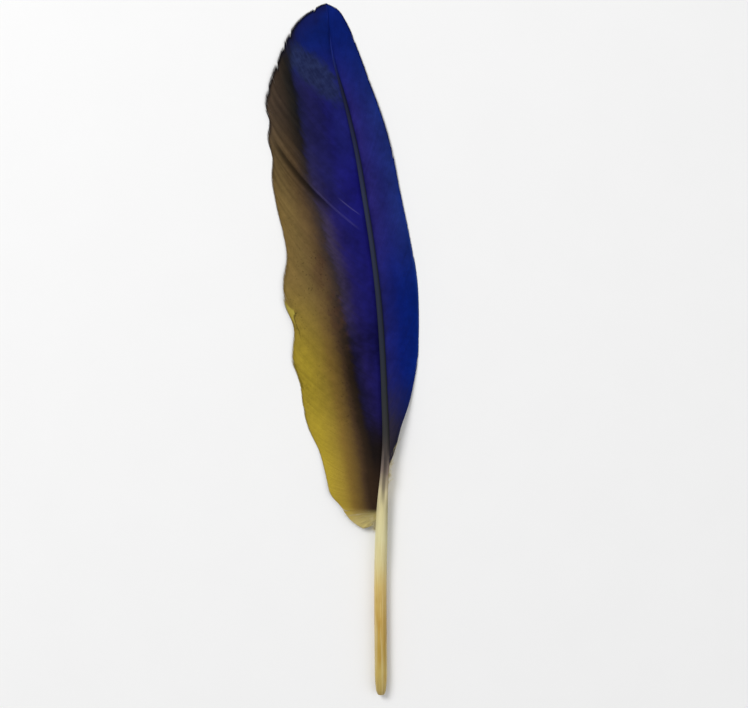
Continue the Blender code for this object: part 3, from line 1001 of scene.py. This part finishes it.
def with_seam_highlights(f, b, colour):
    """Adds a painted highlight on the barb along each of two seams, and a painted shadow below the longer
    one.
    """
    long_seam_highlight = abs(b.root - LONG_SEAM).rise(0.36, 0.14) * b.out.band(0.05, 0.14, 0.35, 0.62)
    short_seam_highlight = abs(b.root - SHORT_SEAM).rise(0.36, 0.14) * b.out.band(0.03, 0.08, 0.17, 0.24)
    # Painted highlight: the raised barb at each seam is made pale as if catching light.
    colour = f.mix(0.27 * long_seam_highlight + 0.20 * short_seam_highlight, colour, SEAM_HIGHLIGHT)
    # Painted shadow below the long seam's raised lock.
    shadow = b.root.band(180.5, 184.4, 184.9, 185.3) * b.out.band(0.22, 0.42, 0.80, 0.98)
    return f.shaded(colour, 1.0 - 0.60 * shadow)


# The lock that is folded up at the rim, painted bright as a highlight, with painted shade in its crease.
# Its crease passes this root at this share of the way out, and the share gets smaller with each millimetre
# farther up. The lock's upper end slants too.
CREASE_ROOT = 116.3
CREASE_OUT = 0.888
CREASE_SLANT = 0.0066
LOCK_END_SLANT = 16.5
LIT_LOCK_YELLOW = rgb(172, 156, 66)
# The fainter crease lower down the rim, with painted shade in it.
LOW_CREASE_ROOT = 105.2
LOW_CREASE_OUT = 0.948


def with_folded_lock(f, b, colour):
    """Adds the folded lock, painted bright as a highlight beyond the painted shade of its crease, and
    painted shade in the fainter crease.
    """
    past_crease = b.out + CREASE_SLANT * (b.root - CREASE_ROOT) - CREASE_OUT
    lock = b.root.rise(118.6, 119.8) * (b.root + LOCK_END_SLANT * b.out).rise(139.0, 138.2)
    # Painted highlight: the folded lock is made bright yellow as if lit.
    colour = f.mix(lock * past_crease.rise(0.0, 0.008) * 0.8, colour, LIT_LOCK_YELLOW)
    # Painted shade along the crease and along the fainter crease.
    crease_shade = abs(past_crease).rise(0.016, 0.004) * b.root.band(115.6, 117.0, 124.0, 125.2)
    low_crease_shade = abs(b.out - LOW_CREASE_OUT).rise(0.028, 0.008)
    low_crease_shade = low_crease_shade * abs(b.root - LOW_CREASE_ROOT).rise(4.0, 2.6)
    return f.shaded(colour, 1.0 - 0.50 * crease_shade - 0.32 * low_crease_shade)


# The outer vane from above. Rows of a ramp give a share of the way out, then the colour there.
OUTER_LOW_BLUE = (
    (0, (34, 35, 96)), (0.14, (29, 34, 110)), (0.45, (12, 31, 116)), (0.85, (4, 34, 122)),
    (1, (7, 40, 129)),
)
OUTER_HIGH_BLUE = (
    (0, (32, 28, 98)), (0.14, (42, 38, 114)), (0.45, (36, 40, 116)), (0.85, (32, 47, 120)),
    (1, (24, 46, 126)),
)
OUTER_TIP_BLUE = rgb(8, 29, 106)
WARM_GREY = rgb(56, 50, 60)
BLUE_GREY = rgb(20, 24, 52)
LIT_BLUE = rgb(44, 74, 146)
OUTER_RIM_BLACK = rgb(7, 10, 30)


def outer_upper(f, b):
    """The outer vane from above: blue, brighter towards the rim, and grey at the foot."""
    out = b.out + 0.2 * (b.streaks - 0.5) + 0.2 * (b.clouds - 0.5)
    blue = f.mix(b.along.rise(158, 196), f.ramp(out, OUTER_LOW_BLUE), f.ramp(out, OUTER_HIGH_BLUE))
    blue = f.mix(b.along.rise(229, 272), blue, OUTER_TIP_BLUE)
    blue = f.shaded(blue, 1.0 + 1.0 * (b.clouds - 0.5) + 0.5 * (b.mottle - 0.5))
    grey = f.mix(out, WARM_GREY, BLUE_GREY)
    colour = f.mix((b.along + 8.0 * (b.streaks - 0.5)).rise(100, 135), grey, blue)
    lit_rim = b.out.rise(0.93, 0.98) * b.along.band(108, 122, 170, 205)
    colour = f.mix(lit_rim * 0.6, colour, LIT_BLUE)
    rim = b.out.rise(0.94, 0.99) * b.along.rise(180, 240)
    return f.mix(rim * 0.7, colour, OUTER_RIM_BLACK)


# Either vane from below, by share of the way out.
UNDER_GOLD = ((0, (150, 120, 34)), (0.55, (136, 108, 32)), (0.85, (112, 90, 36)), (1.0, (92, 76, 42)))
DUSKY_GOLD = rgb(96, 82, 46)


def vane_under(f, b):
    """Either vane from below: golden olive, duskier at the rim and tip."""
    gold = f.ramp(b.out + 0.3 * (b.clouds - 0.5), UNDER_GOLD)
    return f.mix(b.along.rise(225, 275), gold, DUSKY_GOLD)


# The shaft's colours, by place along it.
HORN_ABOVE = (
    (0, (152, 130, 74)), (8, (178, 156, 86)), (18, (168, 138, 60)), (30, (178, 146, 72)),
    (44, (194, 169, 102)), (54, (200, 186, 132)), (64, (206, 198, 149)), (74, (200, 190, 142)),
    (84, (146, 135, 108)), (92, (96, 84, 76)), (99, (62, 56, 54)), (107, (46, 46, 46)),
    (120, (40, 43, 47)), (145, (33, 38, 52)), (200, (36, 42, 64)), (225, (25, 30, 57)),
    (244, (15, 19, 44)), (253, (13, 20, 54)), (260, (9, 26, 96)), (268, (8, 28, 110)),
)
HORN_BELOW = (
    (0, (140, 118, 64)), (40, (194, 168, 100)), (64, (208, 196, 144)), (100, (190, 168, 96)),
    (180, (148, 120, 50)), (250, (112, 92, 46)), (262, (62, 55, 48)), (272, (26, 30, 54)),
)
AMBER = rgb(172, 128, 38)
IVORY = rgb(226, 216, 172)
PIT_SHADE = rgb(40, 26, 12)
NAVEL_SHADE = rgb(52, 36, 18)
NAVEL_ALONG = 68.5
NAVEL_HALF_WIDTH = 0.55
NAVEL_HALF_LENGTH = 1.6
HORN_RELIEF = 0.03 * MM


def horn_finish():
    """The horny shaft: slate along the blue, ivory at the vanes' foot, amber in the quill."""
    f = Finish("horn")
    coords = f.coords()
    across, along = f.place(coords)
    height = f.mark("height")
    rightwards = f.mark("across")
    sideways = abs(rightwards)
    grain = f.noise(f.vector(across * 1.4, along * 0.05, height * 1.2), detail=4.0)
    clouds = f.noise(coords, 110.0, 3.0)
    at = along + 7.0 * (clouds - 0.5) + 14.0 * (grain - 0.5)
    below = height.rise(0.0, -0.35) * along.rise(62, 84)
    colour = f.mix(below, f.ramp(at, HORN_ABOVE), f.ramp(at, HORN_BELOW))

    # Where the slate begins, painted highlights run along the two edges, and the middle is darker.
    painted_edge_highlights = along.band(75, 84, 92, 101)
    colour = f.shaded(colour, 1.0 + painted_edge_highlights * (0.78 * sideways.rise(0.15, 0.62) - 0.30))
    # Painted light and shade: the crown lightened and the sides darkened, the right side most, as if lit
    # from the left.
    sides = (0.45 * sideways.rise(0.2, 1.0) + 0.26 * rightwards) * (1.0 - 0.85 * painted_edge_highlights)
    colour = f.shaded(colour, 1.12 - sides * along.band(40, 100, 240, 262))

    # Amber stains and pale streaks in the quill, then painted shade where its navel opens and in the pit in
    # its end.
    stains = f.noise(f.vector(across * 0.5, along * 0.11, 3.0), detail=3.0).rise(0.50, 0.72)
    colour = f.mix(stains * along.rise(50, 32) * 0.45, colour, AMBER)
    streaks = f.noise(f.vector(across * 1.1, along * 0.03, 9.0), detail=2.0).rise(0.5, 0.7)
    colour = f.mix(streaks * along.rise(76, 60) * 0.30, colour, IVORY)
    navel = (across / NAVEL_HALF_WIDTH) ** 2.0 + ((along - NAVEL_ALONG) / NAVEL_HALF_LENGTH) ** 2.0
    colour = f.mix(navel.rise(1.2, 0.5) * height.rise(-0.5, -0.8), colour, NAVEL_SHADE)
    colour = f.mix(f.mark("pit"), colour, PIT_SHADE)

    lines = f.noise(f.vector(across * 5.0, along * 0.12, height * 4.0), detail=3.0)
    colour = f.shaded(colour, 0.74 + 0.30 * grain + 0.20 * lines)
    slate = along.rise(80, 105)
    rough = 0.30 + 0.14 * grain + 0.22 * slate
    relief = f.bump(0.6 * grain + 0.4 * lines, HORN_RELIEF, 0.6)
    return f.finish(
        Base_Color=colour, Roughness=rough, Normal=relief, Coat_Weight=0.35 * (1.0 - slate),
        Specular_IOR_Level=0.10, Coat_Roughness=0.25,
    )


DOWN_YELLOW = rgb(196, 180, 124)
DOWN_PALE = rgb(230, 222, 188)
DOWN_NOISE = 400.0
DOWN_RELIEF = 0.01 * MM


def down_finish():
    """The down: pale yellow, paler in places."""
    f = Finish("down")
    clouds = f.noise(f.coords(), DOWN_NOISE, 2.0)
    pale = (clouds + 0.25 * f.mark("barb")).rise(0.25, 0.8)
    colour = f.mix(pale, DOWN_YELLOW, DOWN_PALE)
    relief = f.bump(clouds, DOWN_RELIEF, 0.3)
    rough = 0.62 + 0.2 * clouds
    return f.finish(Base_Color=colour, Roughness=rough, Normal=relief, Specular_IOR_Level=0.1)


# Surroundings

FLOOR_SIZE = 6.0
FLOOR_NOISE = 40.0
# Each light's name, place, size in metres and power in watts.
LIGHTS = (("key", (-0.80, 0.66, 1.20), 0.75, 16.5), ("fill", (0.90, -0.35, 0.95), 1.00, 3.9))
SKY_LIGHT = 0.42


def make_floor():
    """A plain pale surface."""
    bpy.ops.mesh.primitive_plane_add(size=FLOOR_SIZE, location=(0, 0, 0))
    floor = bpy.context.object
    floor.name = "floor"
    f = Finish("pale_floor")
    grain = f.noise(f.coords(), FLOOR_NOISE, 3.0)
    shade = 0.88 + 0.02 * grain
    material = f.finish(Base_Color=f.vector(shade, shade, shade), Roughness=0.8 + 0.1 * grain)
    floor.data.materials.append(material)


def add_light(name, place, size, power):
    """A soft square light that points at the feather."""
    light = bpy.data.lights.new(name, "AREA")
    light.size = size
    light.energy = power
    lamp = bpy.data.objects.new(name, light)
    lamp.location = place
    lamp.rotation_mode = "QUATERNION"
    lamp.rotation_quaternion = (-Vector(place)).to_track_quat("-Z", "Y")
    bpy.context.scene.collection.objects.link(lamp)


def light_studio():
    """Soft light from above, stronger from the upper left."""
    for light in LIGHTS:
        add_light(*light)
    world = bpy.data.worlds.new("studio")
    world.use_nodes = True
    sky = world.node_tree.nodes["Background"].inputs
    sky["Color"].default_value = rgb(255, 255, 255)
    sky["Strength"].default_value = SKY_LIGHT
    bpy.context.scene.world = world
    bpy.context.scene.view_settings.view_transform = "Standard"


def make_camera():
    """A long lens straight above the photograph's frame."""
    across = (FRAME_WIDTH_PX / 2 - QUILL_AXIS_PX) * MM_PER_PX - MIDDLE_ACROSS
    along = (QUILL_END_PX - FRAME_HEIGHT_PX / 2) * MM_PER_PX - MIDDLE_ALONG
    data = bpy.data.cameras.new("camera")
    data.sensor_width = SENSOR
    data.lens = SENSOR * CAMERA_HEIGHT / (FRAME_WIDTH_PX * MM_PER_PX)
    camera = bpy.data.objects.new("camera", data)
    camera.location = Vector((across, along, CAMERA_HEIGHT)) * MM
    bpy.context.scene.collection.objects.link(camera)
    bpy.context.scene.camera = camera


# Where the random draws of the pieces start.
INNER_SEED = 11
OUTER_SEED = 23
DOWN_SEED = 5


def make_feather():
    """All of the feather's pieces."""
    inner_roots = barb_root(np.linspace(0.0, 1.0, INNER_COUNT))
    outer_roots = barb_root(np.linspace(share_of(OUTER_BARBS[0][0]), 1.0, OUTER_COUNT))
    inner = barb_mesh("inner_vane", INNER, inner_roots, INNER_STATIONS, INNER_SEED)
    outer = barb_mesh("outer_vane", OUTER, outer_roots, OUTER_STATIONS, OUTER_SEED)
    add_piece(inner, vane_finish("inner_barbs", inner_upper))
    add_piece(outer, vane_finish("outer_barbs", outer_upper))
    add_piece(shaft_mesh(), horn_finish())
    add_piece(down_mesh(DOWN_SEED), down_finish())


make_feather()
make_floor()
light_studio()
make_camera()
